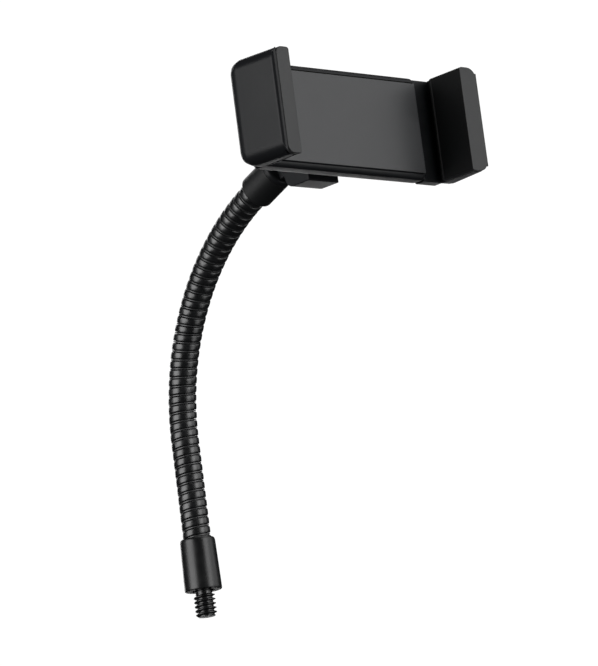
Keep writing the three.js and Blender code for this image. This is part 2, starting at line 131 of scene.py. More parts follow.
paper = bpy.data.materials.new("matt_white_paper")
paper.use_nodes = True
paper.node_tree.nodes.clear()
fibres = add(paper.node_tree, "ShaderNodeTexNoise", {"Scale": 40.0, "Detail": 3.0})
tone = add(paper.node_tree, "ShaderNodeValToRGB", {}, {"Fac": fibres.outputs["Fac"]})
two_tones(tone, "#f7f7f5", "#fbfbfa")
paper_shader = add(paper.node_tree, "ShaderNodeBsdfPrincipled", {"Roughness": 0.9},
                   {"Base Color": tone.outputs["Color"]})
add(paper.node_tree, "ShaderNodeOutputMaterial", {}, {"Surface": paper_shader.outputs[0]})

nothing_selected()
floor_size, floor_height = 14, -1.1
bpy.ops.mesh.primitive_plane_add(size=floor_size, location=(0, 0, floor_height))
floor = bpy.context.object
floor.name = "studio_floor"
bpy.ops.object.transform_apply(location=True, rotation=True, scale=True)
floor.data.materials.append(paper)
floor.visible_diffuse = False
floor.visible_glossy = False

light_centre = Vector((0, -45 * MM, 70 * MM))


def softbox(name, bearing, height, distance, width, tall, power):
    """A rectangular area light facing the part. The bearing turns from -Y towards +X."""
    turn = math.radians(bearing)
    away = Vector((math.sin(turn), -math.cos(turn), height)).normalized()
    lamp = bpy.data.lights.new(name, "AREA")
    lamp.shape = "RECTANGLE"
    lamp.size, lamp.size_y = width, tall
    lamp.energy = power
    holder = bpy.data.objects.new(name, lamp)
    bpy.context.scene.collection.objects.link(holder)
    holder.location = light_centre + away * distance
    holder.rotation_euler = away.to_track_quat("Z", "Y").to_euler()
    holder.visible_camera = False
    return holder


softbox("softbox_left", -101, 0.10, 1.3, 1.1, 1.2, 17)
softbox("softbox_right", 12, 0.22, 1.3, 0.7, 1.1, 8.5)
softbox("softbox_far_right", 48, 0.30, 1.3, 0.9, 1.1, 4)
softbox("softbox_back", 150, 0.25, 1.5, 1.0, 1.2, 10)
softbox("softbox_top", 40, 3.0, 1.6, 1.4, 1.4, 9)
softbox("softbox_low", 20, -0.6, 1.3, 0.8, 0.8, 3)
# so steep that the panel lies level, then let down below the part to light the floor alone
steep, panel_height = 1000, -0.5
floor_panel = softbox("floor_panel", 0, steep, 0.1, 9, 9, 250)
floor_panel.location.z = panel_height

# ---------------------------------------------------------------------------
# Threaded stud: a 1/4 inch - 20 steel stud with a rolled thread, a chamfered
# tip and a plain neck, its shank pressed into the ferrule's floor. It is
# plated black like the ferrule.
# ---------------------------------------------------------------------------
thread_radius, thread_pitch, stud_length, stud_neck = 3.175, 1.27, 7.7, 0.9
thread_depth = 0.613 * thread_pitch
shank_radius, shank_top = 3.0, 3.9
crest_flat, flank_foot, tip_slope, run_out_length = 0.07, 0.40, 1.1, 0.5


def finished(piece, angle=32, true_flats=True):
    """Doubles merged, faces outwards, round parts shaded smooth, and edges and flats kept true."""
    nothing_selected()
    bpy.context.view_layer.objects.active = piece
    piece.select_set(True)
    bpy.ops.object.mode_set(mode="EDIT")
    bpy.ops.mesh.select_all(action="SELECT")
    bpy.ops.mesh.remove_doubles(threshold=1e-6)
    bpy.ops.mesh.normals_make_consistent(inside=False)
    bpy.ops.object.mode_set(mode="OBJECT")
    bpy.ops.object.shade_smooth_by_angle(angle=math.radians(angle))
    if true_flats:
        flats = piece.modifiers.new("flats", "WEIGHTED_NORMAL")
        flats.keep_sharp = True
        bpy.ops.object.modifier_apply(modifier="flats")
    return piece


def turned(name, rings, sides=72, hollow=False):
    """A lathe-turned piece about +Z from (radius, height) pairs in mm, foot first and outside up.
    A hollow one is a closed loop of rings; a solid one is capped at both ends."""
    nothing_selected()
    radius, height = rings[0]
    bpy.ops.mesh.primitive_circle_add(vertices=sides, radius=radius * MM, fill_type="NOTHING",
                                      location=(0, 0, height * MM))
    piece = bpy.context.object
    piece.name = name
    bpy.ops.object.transform_apply(location=True, rotation=True, scale=True)
    bpy.ops.object.mode_set(mode="EDIT")
    bpy.ops.mesh.select_all(action="SELECT")
    for wider, higher in rings[1:]:
        bpy.ops.mesh.extrude_region_move(
            TRANSFORM_OT_translate={"value": (0, 0, (higher - height) * MM)})
        if wider != radius:
            ratio = wider / radius
            bpy.ops.transform.resize(value=(ratio, ratio, 1), center_override=(0, 0, higher * MM))
        radius, height = wider, higher
    bpy.ops.mesh.select_all(action="SELECT")
    if hollow:
        bpy.ops.mesh.remove_doubles(threshold=1e-7)
    else:
        bpy.ops.mesh.fill_holes(sides=0)
    bpy.ops.object.mode_set(mode="OBJECT")
    return finished(piece, true_flats=hollow)


thread_steps = 110
tip_to_neck = stud_length - stud_neck
stud_heights = [-stud_length + n / thread_steps * tip_to_neck for n in range(thread_steps + 1)]
stud_heights += [-stud_neck + 0.05, 0.25, 0.3, shank_top - 0.3, shank_top]
stud_rings = [(shank_radius, height) for height in stud_heights]
stud = turned("rolled_thread_stud", stud_rings, sides=80)
for corner in stud.data.vertices:
    x, y, z = corner.co / MM
    turn = math.atan2(y, x)
    pitches = z / thread_pitch - turn / (2 * math.pi)
    from_crest = abs(pitches - round(pitches))
    down = min(max((from_crest - crest_flat) / (flank_foot - crest_flat), 0), 1)
    down = down * down * (3 - 2 * down) * 0.35 + down * 0.65
    radius = thread_radius - thread_depth * down
    radius = min(radius, thread_radius - thread_depth * 0.95 + (z + stud_length) * tip_slope)
    if z > -stud_neck - run_out_length:
        run_out = min((z + stud_neck + run_out_length) / run_out_length, 1)
        radius = radius + (thread_radius - thread_depth - radius) * run_out
    if z > 0.28:
        radius = shank_radius
    if z > shank_top - 0.01:
        radius = shank_radius - 0.3
    corner.co = (radius * MM * math.cos(turn), radius * MM * math.sin(turn), z * MM)
finished(stud, 50, true_flats=False)


def blank_material(name):
    """A material with an empty tree, the tree, and the object's own coordinates in it."""
    made = bpy.data.materials.new(name)
    made.use_nodes = True
    made.node_tree.nodes.clear()
    place = add(made.node_tree, "ShaderNodeTexCoord").outputs["Object"]
    return made, made.node_tree, place


steel, tree, place = blank_material("black_plated_rolled_steel")
# plating mottle about 1.5 mm across, and rolling marks about 0.1 mm
mottle = add(tree, "ShaderNodeTexNoise", {"Scale": 650.0, "Detail": 4.0, "Roughness": 0.6},
             {"Vector": place})
marks = add(tree, "ShaderNodeTexNoise", {"Scale": 5200.0, "Detail": 3.0, "Roughness": 0.55},
            {"Vector": place})
plating = add(tree, "ShaderNodeValToRGB", {}, {"Fac": mottle.outputs["Fac"]})
plating.color_ramp.elements[0].position, plating.color_ramp.elements[1].position = 0.3, 0.75
two_tones(plating, "#0c0d0e", "#17181a")
rubbed = add(tree, "ShaderNodeMapRange",
             {"From Min": 0.3, "From Max": 0.7, "To Min": 0.24, "To Max": 0.36},
             {"Value": mottle.outputs["Fac"]})
grain = add(tree, "ShaderNodeBump", {"Strength": 0.2, "Distance": 0.00004},
            {"Height": marks.outputs["Fac"]})
shader = add(tree, "ShaderNodeBsdfPrincipled", {"Metallic": 0.2, "IOR": 1.75},
             {"Base Color": plating.outputs["Color"], "Roughness": rubbed.outputs["Result"],
              "Normal": grain.outputs["Normal"]})
add(tree, "ShaderNodeOutputMaterial", {}, {"Surface": shader.outputs[0]})

stud.data.materials.append(steel)
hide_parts("threaded_stud")
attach(stud, "stud_foot")

# ---------------------------------------------------------------------------
# Lower ferrule: a turned steel sleeve with a floor for the stud, swaged onto
# the arm so that it narrows upwards and its lip rolls in against the wires.
# Satin black plating, smoother than the wires.
# ---------------------------------------------------------------------------
ferrule_height, arm_radius = 15.4, 4.15
ferrule_rings = [(3.3, 0), (5.1, 0), (5.3, 0.05), (5.44, 0.17), (5.5, 0.38), (5.5, 0.8),
                 (5.47, 3.0), (5.39, 6.5), (5.31, 10.0), (5.24, 13.0), (5.21, 14.2),
                 (5.15, 14.75), (5.01, 15.15), (4.82, 15.36), (4.57, 15.4), (4.49, 15.3),
                 (4.45, 15.0), (4.45, 4.2), (3.3, 4.2), (3.3, 0)]
ferrule = turned("swaged_lower_ferrule", ferrule_rings, sides=96, hollow=True)

ferrule_steel, tree, place = blank_material("satin_black_plated_turned_steel")
# turning lines about 0.15 mm apart round the ferrule, seen only as a fine lay
lay = add(tree, "ShaderNodeMapping", {}, {"Vector": place})
lay.inputs["Scale"].default_value = (180, 180, 6600)
lines = add(tree, "ShaderNodeTexNoise", {"Scale": 1.0, "Detail": 2.0}, {"Vector": lay.outputs[0]})
clouds = add(tree, "ShaderNodeTexNoise", {"Scale": 320.0, "Detail": 4.0}, {"Vector": place})
coat = add(tree, "ShaderNodeValToRGB", {}, {"Fac": clouds.outputs["Fac"]})
coat.color_ramp.elements[0].position, coat.color_ramp.elements[1].position = 0.35, 0.7
two_tones(coat, "#0f1011", "#171819")
polish = add(tree, "ShaderNodeMapRange",
             {"From Min": 0.3, "From Max": 0.7, "To Min": 0.3, "To Max": 0.38},
             {"Value": clouds.outputs["Fac"]})
ridges = add(tree, "ShaderNodeBump", {"Strength": 0.15, "Distance": 0.00003},
             {"Height": lines.outputs["Fac"]})
shader = add(tree, "ShaderNodeBsdfPrincipled", {"Metallic": 0.25, "IOR": 1.6},
             {"Base Color": coat.outputs["Color"], "Roughness": polish.outputs["Result"],
              "Normal": ridges.outputs["Normal"]})
add(tree, "ShaderNodeOutputMaterial", {}, {"Surface": shader.outputs[0]})

ferrule.data.materials.append(ferrule_steel)
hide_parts("lower_ferrule")
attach(ferrule, "stud_foot")

# ---------------------------------------------------------------------------
# Gooseneck: a broad, slightly crowned spring wire wound into a tube, with a
# wedge-shaped wire wound tight between its turns, so that it holds any bend.
# It comes in stretches from the middle of one link to the middle of the next.
# The first and last run on into a ferrule.
# ---------------------------------------------------------------------------
arm_straight, bend_radius, whole_bend = 29.3, 68.6, math.radians(68.5)
arm_length = arm_straight + bend_radius * whole_bend
arm_joints, blend_reach, tucked_turns = 12, 3.3, 2
link = arm_length / arm_joints
turns_per_link = 3.5
wire_pitch = link / turns_per_link
band_half_width, band_half_depth, band_squareness = 1.03, 0.5, 4.0
wedge = [(3.84, -0.18), (3.93, -0.14), (3.95, 0.0), (3.93, 0.14), (3.84, 0.18), (3.3, 0.2),
         (3.0, 0.46), (2.75, 0.46), (2.6, 0.0), (2.75, -0.46), (3.0, -0.46), (3.3, -0.2)]


def on_arm(x, y, s):
    """A point of the straight arm, s mm along it, laid on the arm's bend."""
    turn = min(max(s - arm_straight, 0) / bend_radius, whole_bend)
    past = max(s - arm_length, 0)
    away = -bend_radius * (1 - math.cos(turn)) - past * math.sin(whole_bend)
    rise = bend_radius * math.sin(turn) + past * math.cos(whole_bend)
    return Vector((x, away + y * math.cos(turn),
                   ferrule_height + min(s, arm_straight) + rise + y * math.sin(turn))) * MM


def wound(name, section, start, half_turns, start_turn):
    """A wire of this (radius, height) section wound right-handed from a place along the arm."""
    nothing_selected()
    bpy.ops.mesh.primitive_circle_add(vertices=len(section), radius=MM, fill_type="NOTHING")
    wire = bpy.context.object
    wire.name = name
    for corner, (radius, height) in zip(wire.data.vertices, section):
        corner.co = Vector((radius, 0, start + height)) * MM
    winding = wire.modifiers.new("winding", "SCREW")
    winding.axis = "Z"
    winding.angle = math.pi
    winding.iterations = half_turns
    winding.screw_offset = wire_pitch / 2 * MM
    winding.steps = winding.render_steps = 18
    winding.use_merge_vertices = True
    winding.merge_threshold = 1e-6
    bpy.ops.object.modifier_apply(modifier="winding")
    bpy.ops.object.mode_set(mode="EDIT")
    bpy.ops.mesh.select_all(action="SELECT")
    bpy.ops.mesh.fill_holes(sides=0)
    bpy.ops.object.mode_set(mode="OBJECT")
    wire.data.transform(Matrix.Rotation(start_turn, 4, "Z"))
    for corner in wire.data.vertices:
        x, y, z = corner.co / MM
        corner.co = on_arm(x, y, z)
    return finished(wire, 50, true_flats=False)


band_section = []
for n in range(20):
    out, along = math.cos(n / 20 * 2 * math.pi), math.sin(n / 20 * 2 * math.pi)
    out = math.copysign(abs(out) ** (2 / band_squareness), out)
    along = math.copysign(abs(along) ** (2 / band_squareness), along)
    band_section.append((arm_radius + band_half_depth * (out - 1), band_half_width * along))
wedge_section = [(radius, height + wire_pitch / 2) for radius, height in wedge]

wedge_steel = steel.copy()
wedge_steel.name = "black_plated_drawn_wedge_wire"
for made in wedge_steel.node_tree.nodes:
    if made.type == "VALTORGB":
        two_tones(made, "#242526", "#38393a")
    if made.type == "MAP_RANGE":
        made.inputs["To Min"].default_value, made.inputs["To Max"].default_value = 0.34, 0.5

# One stretch is singled out, yet it is baked in place
# like the others.
reversed_stretch = 4
for n in range(arm_joints):
    half_turns = round(2 * turns_per_link)
    start = n * link
    start_turn = n * turns_per_link * 2 * math.pi
    if n == 0:
        start -= tucked_turns * wire_pitch
    if n in (0, arm_joints - 1):
        half_turns += 2 * tucked_turns
    joint_at = (n + 0.5) * link
    low, high = on_arm(0, 0, joint_at - blend_reach), on_arm(0, 0, joint_at + blend_reach)
    for kind, section, metal in (("band", band_section, steel),
                                 ("wedge", wedge_section, wedge_steel)):
        wire = wound(f"{kind}_wire_{n + 1:02d}", section, start, half_turns, start_turn)
        wire.data.materials.append(metal)
        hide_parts(f"gooseneck_link_{n:02d}", f"gooseneck_link_{n + 1:02d}")
        if n == reversed_stretch:
            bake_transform(wire)
        else:
            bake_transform(wire)

# ---------------------------------------------------------------------------
# Upper ferrule: a plain steel sleeve, powder coated matt black, crimped on
# the top of the arm. A small chamfer at its lower rim shows as a pale line.
# ---------------------------------------------------------------------------
sleeve_rings = [(4.45, 0), (4.62, 0), (4.82, 0.06), (5.14, 0.42), (5.2, 0.62), (5.2, 9.9),
                (5.18, 10.1), (5.12, 10.2), (4.45, 10.2), (4.45, 0)]
arm_top = on_arm(0, 0, arm_length)
along_arm_end = Matrix.Translation(arm_top) @ Matrix.Rotation(whole_bend, 4, "X")
sleeve = turned("crimped_upper_ferrule", sleeve_rings, sides=96, hollow=True)
sleeve.data.transform(along_arm_end)

powder, tree, place = blank_material("matt_black_powder_coat")
# the coat's orange peel is about 0.6 mm across, with a finer grit of 0.15 mm
peel = add(tree, "ShaderNodeTexNoise", {"Scale": 1700.0, "Detail": 2.0}, {"Vector": place})
grit = add(tree, "ShaderNodeTexVoronoi", {"Scale": 6500.0}, {"Vector": place})
level = add(tree, "ShaderNodeMath", {"operation": "MULTIPLY_ADD"})
tree.links.new(peel.outputs["Fac"], level.inputs[0])
level.inputs[1].default_value = 1.6
tree.links.new(grit.outputs["Distance"], level.inputs[2])
tint = add(tree, "ShaderNodeValToRGB", {}, {"Fac": peel.outputs["Fac"]})
two_tones(tint, "#101112", "#18191a")
bumps = add(tree, "ShaderNodeBump", {"Strength": 0.35, "Distance": 0.00005},
            {"Height": level.outputs[0]})
shader = add(tree, "ShaderNodeBsdfPrincipled", {"Roughness": 0.5, "Specular IOR Level": 0.3},
             {"Base Color": tint.outputs["Color"], "Normal": bumps.outputs["Normal"]})
add(tree, "ShaderNodeOutputMaterial", {}, {"Surface": shader.outputs[0]})

sleeve.data.materials.append(powder)
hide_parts("upper_ferrule")
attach(sleeve, "arm_end")

# ---------------------------------------------------------------------------
# Tilt knuckle: a moulded plug that sits in the sleeve, with a collar against
# its rim and a flat tongue whose rounded eye turns between the yoke's cheeks.
# ---------------------------------------------------------------------------
knuckle_reach, knuckle_half, eye_radius = 22.5, 1.8, 5.5
pin_hole = 2.3


def extruded(name, corners, place_corner, travel):
    """A flat outline of (a, b) corners in mm, put in space by place_corner and given a depth."""
    nothing_selected()
    bpy.ops.mesh.primitive_circle_add(vertices=len(corners), radius=MM, fill_type="NGON")
    piece = bpy.context.object
    piece.name = name
    for corner, (a, b) in zip(piece.data.vertices, corners):
        corner.co = Vector(place_corner(a, b)) * MM
    bpy.ops.object.mode_set(mode="EDIT")
    bpy.ops.mesh.select_all(action="SELECT")
    bpy.ops.mesh.extrude_region_move(TRANSFORM_OT_translate={"value": Vector(travel) * MM})
    bpy.ops.mesh.select_all(action="SELECT")
    bpy.ops.mesh.normals_make_consistent(inside=False)
    bpy.ops.object.mode_set(mode="OBJECT")
    return piece


def combined(piece, tool, operation):
    """The piece joined with a tool, or with the tool cut out of it. The tool is used up."""
    nothing_selected()
    bpy.context.view_layer.objects.active = piece
    piece.select_set(True)
    step = piece.modifiers.new("step", "BOOLEAN")
    step.object = tool
    step.operation = operation
    step.solver = "EXACT"
    bpy.ops.object.modifier_apply(modifier="step")
    bpy.data.objects.remove(tool)
    return piece


def rounded_edges(piece, width, segments=3, angle=32):
    """Every edge sharper than the angle gets a small moulding radius, in mm."""
    nothing_selected()
    bpy.context.view_layer.objects.active = piece
    piece.select_set(True)
    bpy.ops.object.mode_set(mode="EDIT")
    bpy.ops.mesh.select_all(action="SELECT")
    bpy.ops.mesh.remove_doubles(threshold=2e-6)
    bpy.ops.mesh.dissolve_limited(angle_limit=math.radians(0.5))
    bpy.ops.object.mode_set(mode="OBJECT")
    radius = piece.modifiers.new("radius", "BEVEL")
    radius.width = width * MM
    radius.segments = segments
    radius.limit_method = "ANGLE"
    radius.angle_limit = math.radians(angle)
    radius.use_clamp_overlap = True
    bpy.ops.object.modifier_apply(modifier="radius")
    return piece


def arc(a, b, radius, start, end, steps):
    """Points of a circular arc about (a, b), with its angles in degrees."""
    turns = [math.radians(start + (end - start) * n / steps) for n in range(steps + 1)]
    return [(a + radius * math.cos(turn), b + radius * math.sin(turn)) for turn in turns]


tongue_outline = [(-4.0, 11.3), (4.0, 11.3)]
tongue_outline += arc(0, knuckle_reach, eye_radius, -8, 188, 28)
tongue = extruded("tilt_knuckle_moulding", tongue_outline, lambda a, b: (-knuckle_half, a, b),
                  (2 * knuckle_half, 0, 0))
pin_bore = turned("tool", [(pin_hole, -8), (pin_hole, 8)], sides=40)
pin_bore.data.transform(Matrix.Translation((0, 0, knuckle_reach * MM)) @
                        Matrix.Rotation(math.pi / 2, 4, "Y"))
tongue = rounded_edges(combined(tongue, pin_bore, "DIFFERENCE"), 0.35)
collar_rings = [(4.0, 6.3), (4.15, 6.5), (4.15, 10.3), (5.1, 10.3), (5.2, 10.4), (5.2, 11.3),
                (5.1, 11.65), (4.85, 11.9), (4.4, 12.1), (3.5, 12.1)]
collar = turned("tool", collar_rings, sides=64)
tongue = combined(tongue, collar, "UNION")
tongue.data.transform(along_arm_end)
finished(tongue)

moulded, tree, place = blank_material("black_abs_fine_texture")
# the mould's spark-eroded texture is about 0.15 mm; it is drawn at 0.22 mm so that it shows
spark = add(tree, "ShaderNodeTexNoise", {"Scale": 4500.0, "Detail": 2.0, "Roughness": 0.5},
            {"Vector": place})
flow = add(tree, "ShaderNodeTexNoise", {"Scale": 90.0, "Detail": 3.0}, {"Vector": place})
shade = add(tree, "ShaderNodeValToRGB", {}, {"Fac": flow.outputs["Fac"]})
shade.color_ramp.elements[0].position, shade.color_ramp.elements[1].position = 0.3, 0.7
two_tones(shade, "#17181a", "#1b1c1e")
gloss = add(tree, "ShaderNodeMapRange",
            {"From Min": 0.3, "From Max": 0.7, "To Min": 0.33, "To Max": 0.4},
            {"Value": flow.outputs["Fac"]})
texture = add(tree, "ShaderNodeBump", {"Strength": 0.3, "Distance": 0.00004},
              {"Height": spark.outputs["Fac"]})
shader = add(tree, "ShaderNodeBsdfPrincipled", {"IOR": 1.52, "Specular IOR Level": 0.17},
             {"Base Color": shade.outputs["Color"], "Roughness": gloss.outputs["Result"],
              "Normal": texture.outputs["Normal"]})
add(tree, "ShaderNodeOutputMaterial", {}, {"Surface": shader.outputs[0]})

tongue.data.materials.append(moulded)
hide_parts("tilt_knuckle")
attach(tongue, "arm_end")

# ---------------------------------------------------------------------------
# Hinge yoke: one moulding with two cheeks either side of the knuckle, a web
# that closes them underneath, and a round turntable flange that the swivel
# ring holds against the back of the clamp.
# ---------------------------------------------------------------------------
plate_low, plate_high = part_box("face_plate")
face_y = plate_low.y / MM
clamp_z = (plate_low.z + plate_high.z) / 2 / MM
tilt_axis = on_arm(0, 0, arm_length + knuckle_reach) / MM
axis_y, axis_z = tilt_axis.y - face_y, tilt_axis.z - clamp_z
on_clamp = Matrix.Translation(Vector((0, face_y, clamp_z)) * MM)
back_about_y = Matrix.Rotation(-math.pi / 2, 4, "X")
cheek_in, cheek_out, yoke_eye = 2.9, 5.9, 6.5

yoke_outline = [(11.0, -15.0)] + arc(17.8, -12.0, 3, -90, 0, 10)
yoke_outline += arc(axis_y, axis_z, yoke_eye, -8.6, 108, 26) + [(11.0, 6.0)]
yoke = extruded("hinge_yoke_moulding", yoke_outline, lambda a, b: (-cheek_out, a, b),
                (2 * cheek_out, 0, 0))
web_top, slot_front, clear_of_it = -13.2, 12.6, 40
slot_outline = [(-cheek_in, web_top), (cheek_in, web_top),
                (cheek_in, clear_of_it), (-cheek_in, clear_of_it)]
slot_tool = extruded("tool", slot_outline, lambda a, b: (a, slot_front, b), (0, 30, 0))
yoke = combined(yoke, slot_tool, "DIFFERENCE")
pin_bore = turned("tool", [(pin_hole, -12), (pin_hole, 12)], sides=40)
pin_bore.data.transform(Matrix.Translation(Vector((0, axis_y, axis_z)) * MM) @
                        Matrix.Rotation(math.pi / 2, 4, "Y"))
yoke = rounded_edges(combined(yoke, pin_bore, "DIFFERENCE"), 0.7, segments=4)
flange_rings = [(8.9, 6.2), (9.0, 6.3), (9.0, 7.5), (8.9, 7.6), (7.1, 7.6), (7.1, 11.2)]
turntable = turned("tool", flange_rings)
turntable.data.transform(back_about_y)
yoke = combined(yoke, turntable, "UNION")
yoke.data.transform(on_clamp)
finished(yoke)
yoke.data.materials.append(moulded)
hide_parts("hinge_yoke")
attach(yoke, "yoke")

# ---------------------------------------------------------------------------
# Friction washers: two matt black spring-steel washers, one either side of
# the knuckle's tongue, that the tilt knob squeezes.
# ---------------------------------------------------------------------------
about_tilt = Matrix.Translation(tilt_axis * MM) @ Matrix.Rotation(math.pi / 2, 4, "Y")
for name, direction in (("friction_washer_right", 1), ("friction_washer_left", -1)):
    low, high = sorted((direction * 2.1, direction * 2.6))
    washer = turned(f"{name}_pressing",
                    [(2.3, low), (4.9, low), (5.0, low + 0.1), (5.0, high - 0.1), (4.9, high),
                     (2.3, high), (2.3, low)], sides=56, hollow=True)
    washer.data.transform(about_tilt)
    washer.data.materials.append(powder)
    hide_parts(name)
    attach(washer, "yoke")

# ---------------------------------------------------------------------------
# Hinge screw: a black socket-head screw through both cheeks. Its thread ends
# inside the knob, where the pressed-in nut takes it.
# ---------------------------------------------------------------------------
screw = turned("hinge_socket_screw",
               [(2.9, -8.4), (3.35, -8.25), (3.6, -7.9), (3.6, -6.4), (3.5, -6.2), (2.0, -6.2),
                (2.0, 9.9), (1.75, 10.2)], sides=48)
socket_outline = arc(0, 0, 1.73, 0, 300, 5)
socket = extruded("tool", socket_outline, lambda a, b: (a, b, -9.5), (0, 0, 2.6))
screw = finished(combined(screw, socket, "DIFFERENCE"))
screw.data.transform(about_tilt)
screw.data.materials.append(powder)
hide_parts("hinge_screw")
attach(screw, "yoke")

# ---------------------------------------------------------------------------
# Tilt knob: a six-lobed moulded grip with a round foot and a blind bore, and
# a hexagon pocket in its foot that keeps the nut from turning.
# ---------------------------------------------------------------------------
knob_start, knob_length, knob_lobes, steps_per_lobe = 6.5, 7.0, 6, 14
knob_end = knob_start + knob_length
lobed = []
for n in range(knob_lobes * steps_per_lobe):
    turn = n / (knob_lobes * steps_per_lobe) * 2 * math.pi
    radius = 6.15 + 0.45 * math.cos(knob_lobes * turn)
    lobed.append((radius * math.cos(turn), radius * math.sin(turn)))
knob = extruded("lobed_tilt_knob", lobed, lambda a, b: (a, b, knob_start + 1),
                (0, 0, knob_length - 1))
knob = rounded_edges(knob, 0.7, segments=4, angle=50)
dish = turned("tool", [(4.2, knob_end - 0.45), (4.5, knob_end + 0.2)], sides=56)
knob = combined(knob, dish, "DIFFERENCE")
neck_rings = [(4.9, knob_start), (5.0, knob_start + 0.1), (5.0, knob_start + 1.6)]
neck = turned("tool", neck_rings, sides=56)
knob = combined(knob, neck, "UNION")
pocket_outline = arc(0, 0, 3.8 / math.cos(math.pi / 6), 0, 300, 5)
pocket = extruded("tool", pocket_outline, lambda a, b: (a, b, knob_start - 1), (0, 0, 4.3))
knob = combined(knob, pocket, "DIFFERENCE")
bore = turned("tool", [(2.3, knob_start - 1), (2.3, knob_start + 4.6)], sides=40)
knob = finished(combined(knob, bore, "DIFFERENCE"))
knob.data.transform(about_tilt)
knob.data.materials.append(moulded)
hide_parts("tilt_knob")
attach(knob, "tilt_knob")

# ---------------------------------------------------------------------------
# Knob nut: a zinc-plated hexagon nut pressed into the knob's pocket.
# ---------------------------------------------------------------------------
zinc, tree, place = blank_material("bright_zinc_plated_steel")
# zinc spangle about 0.5 mm across, with a faint blue and straw cast between grains
spangle = add(tree, "ShaderNodeTexVoronoi", {"Scale": 2000.0}, {"Vector": place})
cast = add(tree, "ShaderNodeValToRGB", {}, {"Fac": spangle.outputs["Color"]})
two_tones(cast, "#b9c0c6", "#c9c6bb")
dull = add(tree, "ShaderNodeMapRange", {"To Min": 0.22, "To Max": 0.38},
           {"Value": spangle.outputs["Distance"]})
shader = add(tree, "ShaderNodeBsdfPrincipled", {"Metallic": 1.0},
             {"Base Color": cast.outputs["Color"], "Roughness": dull.outputs["Result"]})
add(tree, "ShaderNodeOutputMaterial", {}, {"Surface": shader.outputs[0]})

nut = extruded("knob_hexagon_nut", arc(0, 0, 3.5 / math.cos(math.pi / 6), 0, 300, 5),
               lambda a, b: (a, b, 6.8), (0, 0, 2.7))
nut = rounded_edges(nut, 0.2, segments=2)
nut_bore = turned("tool", [(2.3, 6), (2.3, 11)], sides=40)
nut = finished(combined(nut, nut_bore, "DIFFERENCE"))
nut.data.transform(about_tilt)
nut.data.materials.append(zinc)
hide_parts("knob_nut")
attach(nut, "tilt_knob")

# ---------------------------------------------------------------------------
# Swivel ring: a moulded ring screwed to the back of the clamp. Its inner lip
# holds the yoke's flange and lets the clamp turn round.
# ---------------------------------------------------------------------------
ring_rings = [(9.3, 6.2), (13.0, 6.2), (13.0, 8.9), (12.9, 9.3), (12.65, 9.6), (12.3, 9.7),
              (7.6, 9.7), (7.4, 9.5), (7.4, 7.9), (9.3, 7.9), (9.3, 6.2)]
ring = turned("swivel_retaining_ring", ring_rings, sides=96, hollow=True)
ring_screw_circle = 11.2
ring_screws_at = [(ring_screw_circle * math.cos(math.radians(bearing)),
                   ring_screw_circle * math.sin(math.radians(bearing)))
                  for bearing in (90, 210, 330)]
for x, y in ring_screws_at:
    hole = turned("tool", [(1.0, 0), (1.0, 8.7), (1.55, 8.7), (1.55, 12)], sides=28)
    hole.data.transform(Matrix.Translation(Vector((x, -y, 0)) * MM))
    ring = combined(ring, hole, "DIFFERENCE")
ring.data.transform(on_clamp @ back_about_y)
finished(ring)
ring.data.materials.append(moulded)
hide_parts("swivel_ring")
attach(ring, "clamp")

# ---------------------------------------------------------------------------
# Screws from behind: small zinc-plated pan heads with a cross recess. Four
# hold the face plate's bosses and three hold the swivel ring.
# ---------------------------------------------------------------------------


def cross_screw(name, shank, head, tip, seat, back):
    """A pan-head screw about +Z with a cross recess, its head between two depths."""
    rings = [(shank * 0.7, tip), (shank, tip + 0.3), (shank, seat), (head, seat),
             (head, back - 0.35), (head * 0.93, back - 0.18), (head * 0.75, back - 0.05),
             (head * 0.4, back)]
    body = turned(name, rings, sides=36)
    arm, half = head * 0.55, head * 0.12
    cross = [(half, half), (half, arm), (-half, arm), (-half, half), (-arm, half), (-arm, -half),
             (-half, -half), (-half, -arm), (half, -arm), (half, -half), (arm, -half), (arm, half)]
    recess = extruded("tool", cross, lambda a, b: (a, b, back - 0.45), (0, 0, 1))
    return finished(combined(body, recess, "DIFFERENCE"))


def driven(name, first, x, z):
    """A copy of the first screw at its place on the clamp, replacing its CAD node."""
    copy = first.copy()
    copy.data = first.data.copy()
    copy.name = f"{name}_pan_head"
    bpy.context.scene.collection.objects.link(copy)
    copy.data.transform(on_clamp @ Matrix.Translation(Vector((x, 0, z)) * MM) @ back_about_y)
    copy.data.materials.append(zinc)
    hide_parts(name)
    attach(copy, "clamp")


screw_x, screw_z = 26, 11.7
case_screws_at = [(x, z) for x in (-screw_x, screw_x) for z in (-screw_z, screw_z)]
case_screw = cross_screw("tool", 0.9, 1.7, 1.5, 5.2, 6.1)
for n, (x, z) in enumerate(case_screws_at):
    driven(f"case_screw_{n + 1}", case_screw, x, z)
bpy.data.objects.remove(case_screw)
ring_screw = cross_screw("tool", 0.7, 1.25, 4.8, 9.0, 9.9)
for n, (x, z) in enumerate(ring_screws_at):
    driven(f"ring_screw_{n + 1}", ring_screw, x, z)
bpy.data.objects.remove(ring_screw)

# ---------------------------------------------------------------------------
# Clamp body: a shallow moulded tub behind the face plate, in one piece with
# the fixed jaw's shell. The jaw's back corners are well rounded, its outer
# face leans out towards the back, and its lip stands round the pad.
# ---------------------------------------------------------------------------
body_half, body_depth, body_end, plate_half = 15.2, 5.9, 30.8, 13.4
jaw_reach, jaw_half, back_corner, pad_thick = 12.9, 15.4, 4.6, 1.4


